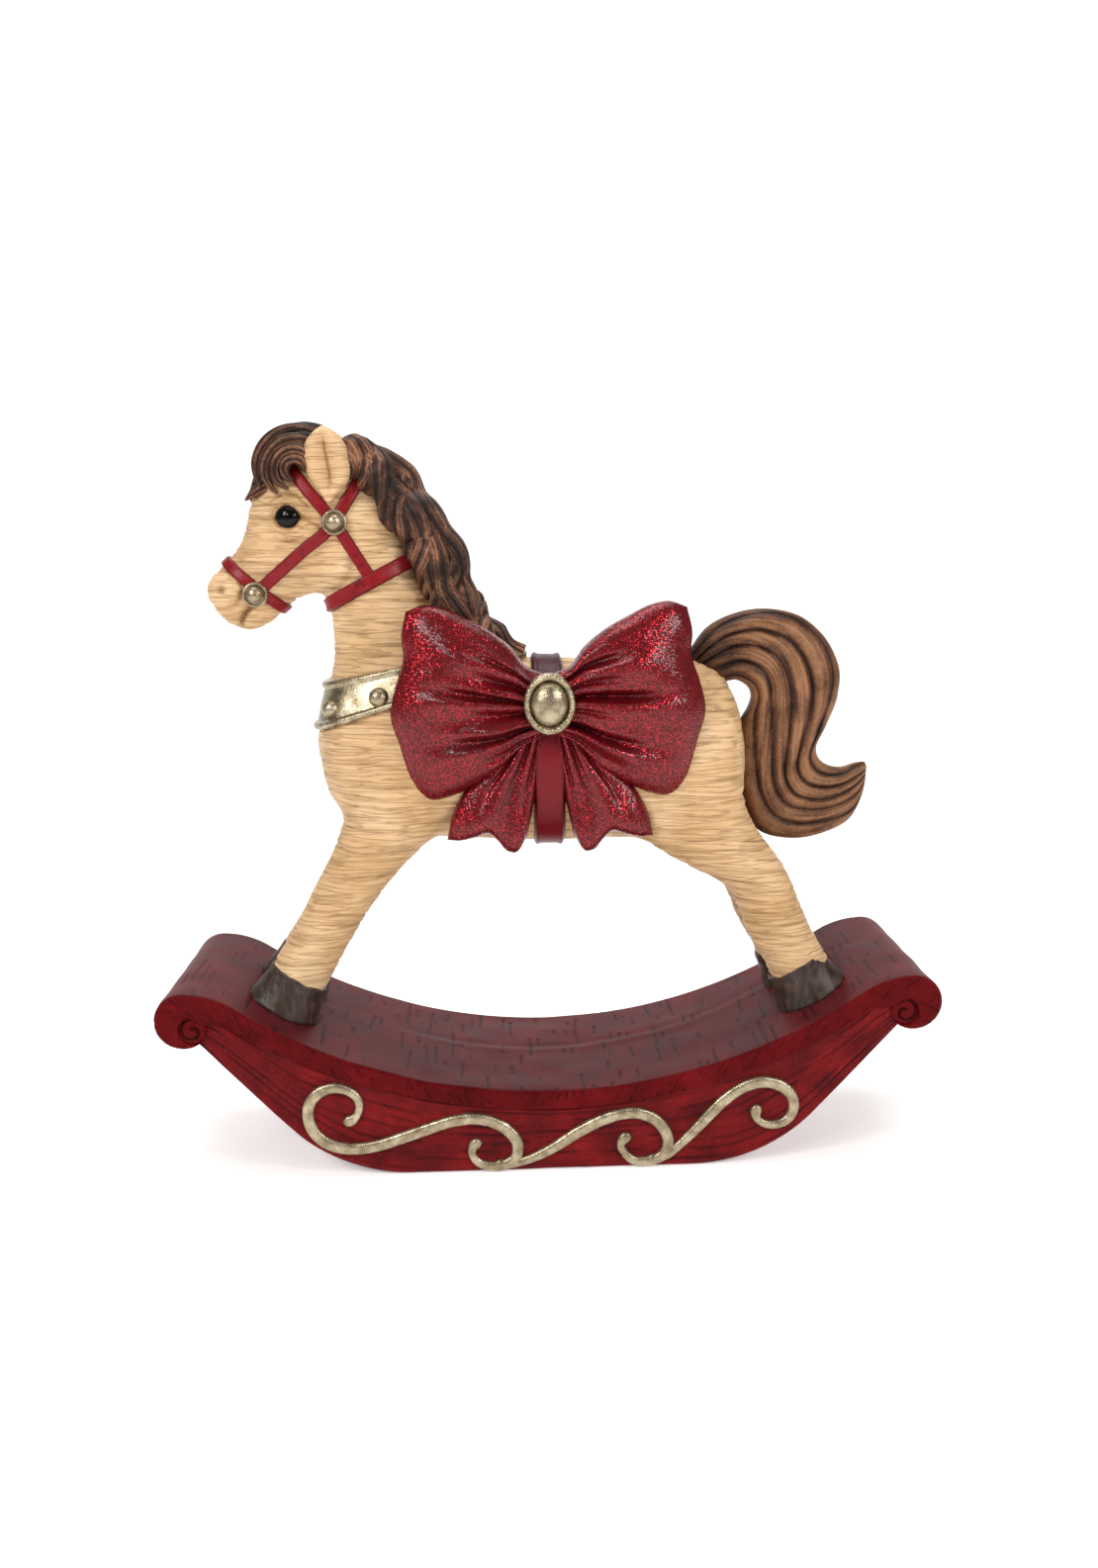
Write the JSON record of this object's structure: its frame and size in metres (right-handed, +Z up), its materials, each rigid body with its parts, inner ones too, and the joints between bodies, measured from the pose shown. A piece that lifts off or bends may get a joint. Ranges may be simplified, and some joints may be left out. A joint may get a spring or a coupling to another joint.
{
  "type": "rocking horse figurine",
  "caption": "Standing rocking-horse figurine with carved mane and tail, strapped bridle, breast collar and side bow, on a scroll-ended rocker with wave-scroll ornament.",
  "frame": {"origin": "on the ground under the middle of the rocker's flat foot, bottom centre of the whole object", "axes": "+X from the nose towards the tail, along the rocker; -Y is the horse's left side, which carries the bow; +Z up"},
  "size_m": [0.31, 0.09, 0.2965],
  "materials": {
    "horse_resin": "satin, wood-effect paint",
    "hoof_paint": "satin",
    "hair_paint": "satin, rubbed highlights",
    "eye_gloss": "gloss",
    "rocker_side_red": "satin",
    "rocker_deck_red": "satin, worn",
    "bow_glitter": "glitter lacquer",
    "gold_paint": "champagne-gold metallic paint",
    "strap_red": "satin"
  },
  "bodies": {
    "root": {"bow_front_loop": "bow_glitter", "bow_front_tail": "bow_glitter", "bow_rear_loop": "bow_glitter", "bow_rear_tail": "bow_glitter", "breast_collar": "gold_paint", "browband": "strap_red", "cheek_boss_left": "gold_paint", "cheek_boss_right": "gold_paint", "cheek_strap_left": "strap_red", "cheek_strap_right": "strap_red", "chin_strap": "strap_red", "collar_studs": "gold_paint", "crown_strap": "strap_red", "drop_strap_left": "strap_red", "drop_strap_right": "strap_red", "ear_left": "horse_resin", "ear_right": "horse_resin", "eye_left": "eye_gloss", "eye_right": "eye_gloss", "forelock": "hair_paint", "front_leg_left": "horse_resin", "front_leg_right": "horse_resin", "girth_strap": "strap_red", "head": "horse_resin", "hind_leg_left": "horse_resin", "hind_leg_right": "horse_resin", "hoof_front_left": "hoof_paint", "hoof_front_right": "hoof_paint", "hoof_hind_left": "hoof_paint", "hoof_hind_right": "hoof_paint", "mane": "hair_paint", "medallion_dome": "gold_paint", "medallion_rim": "gold_paint", "neck": "horse_resin", "nose_boss_left": "gold_paint", "nose_boss_right": "gold_paint", "noseband": "strap_red", "rocker_body": "rocker_side_red", "rocker_deck": "rocker_deck_red", "scroll_ornament_left": "gold_paint", "scroll_ornament_right": "gold_paint", "tail": "hair_paint", "throat_strap": "strap_red", "torso": "horse_resin"}
  },
  "joints": []
}
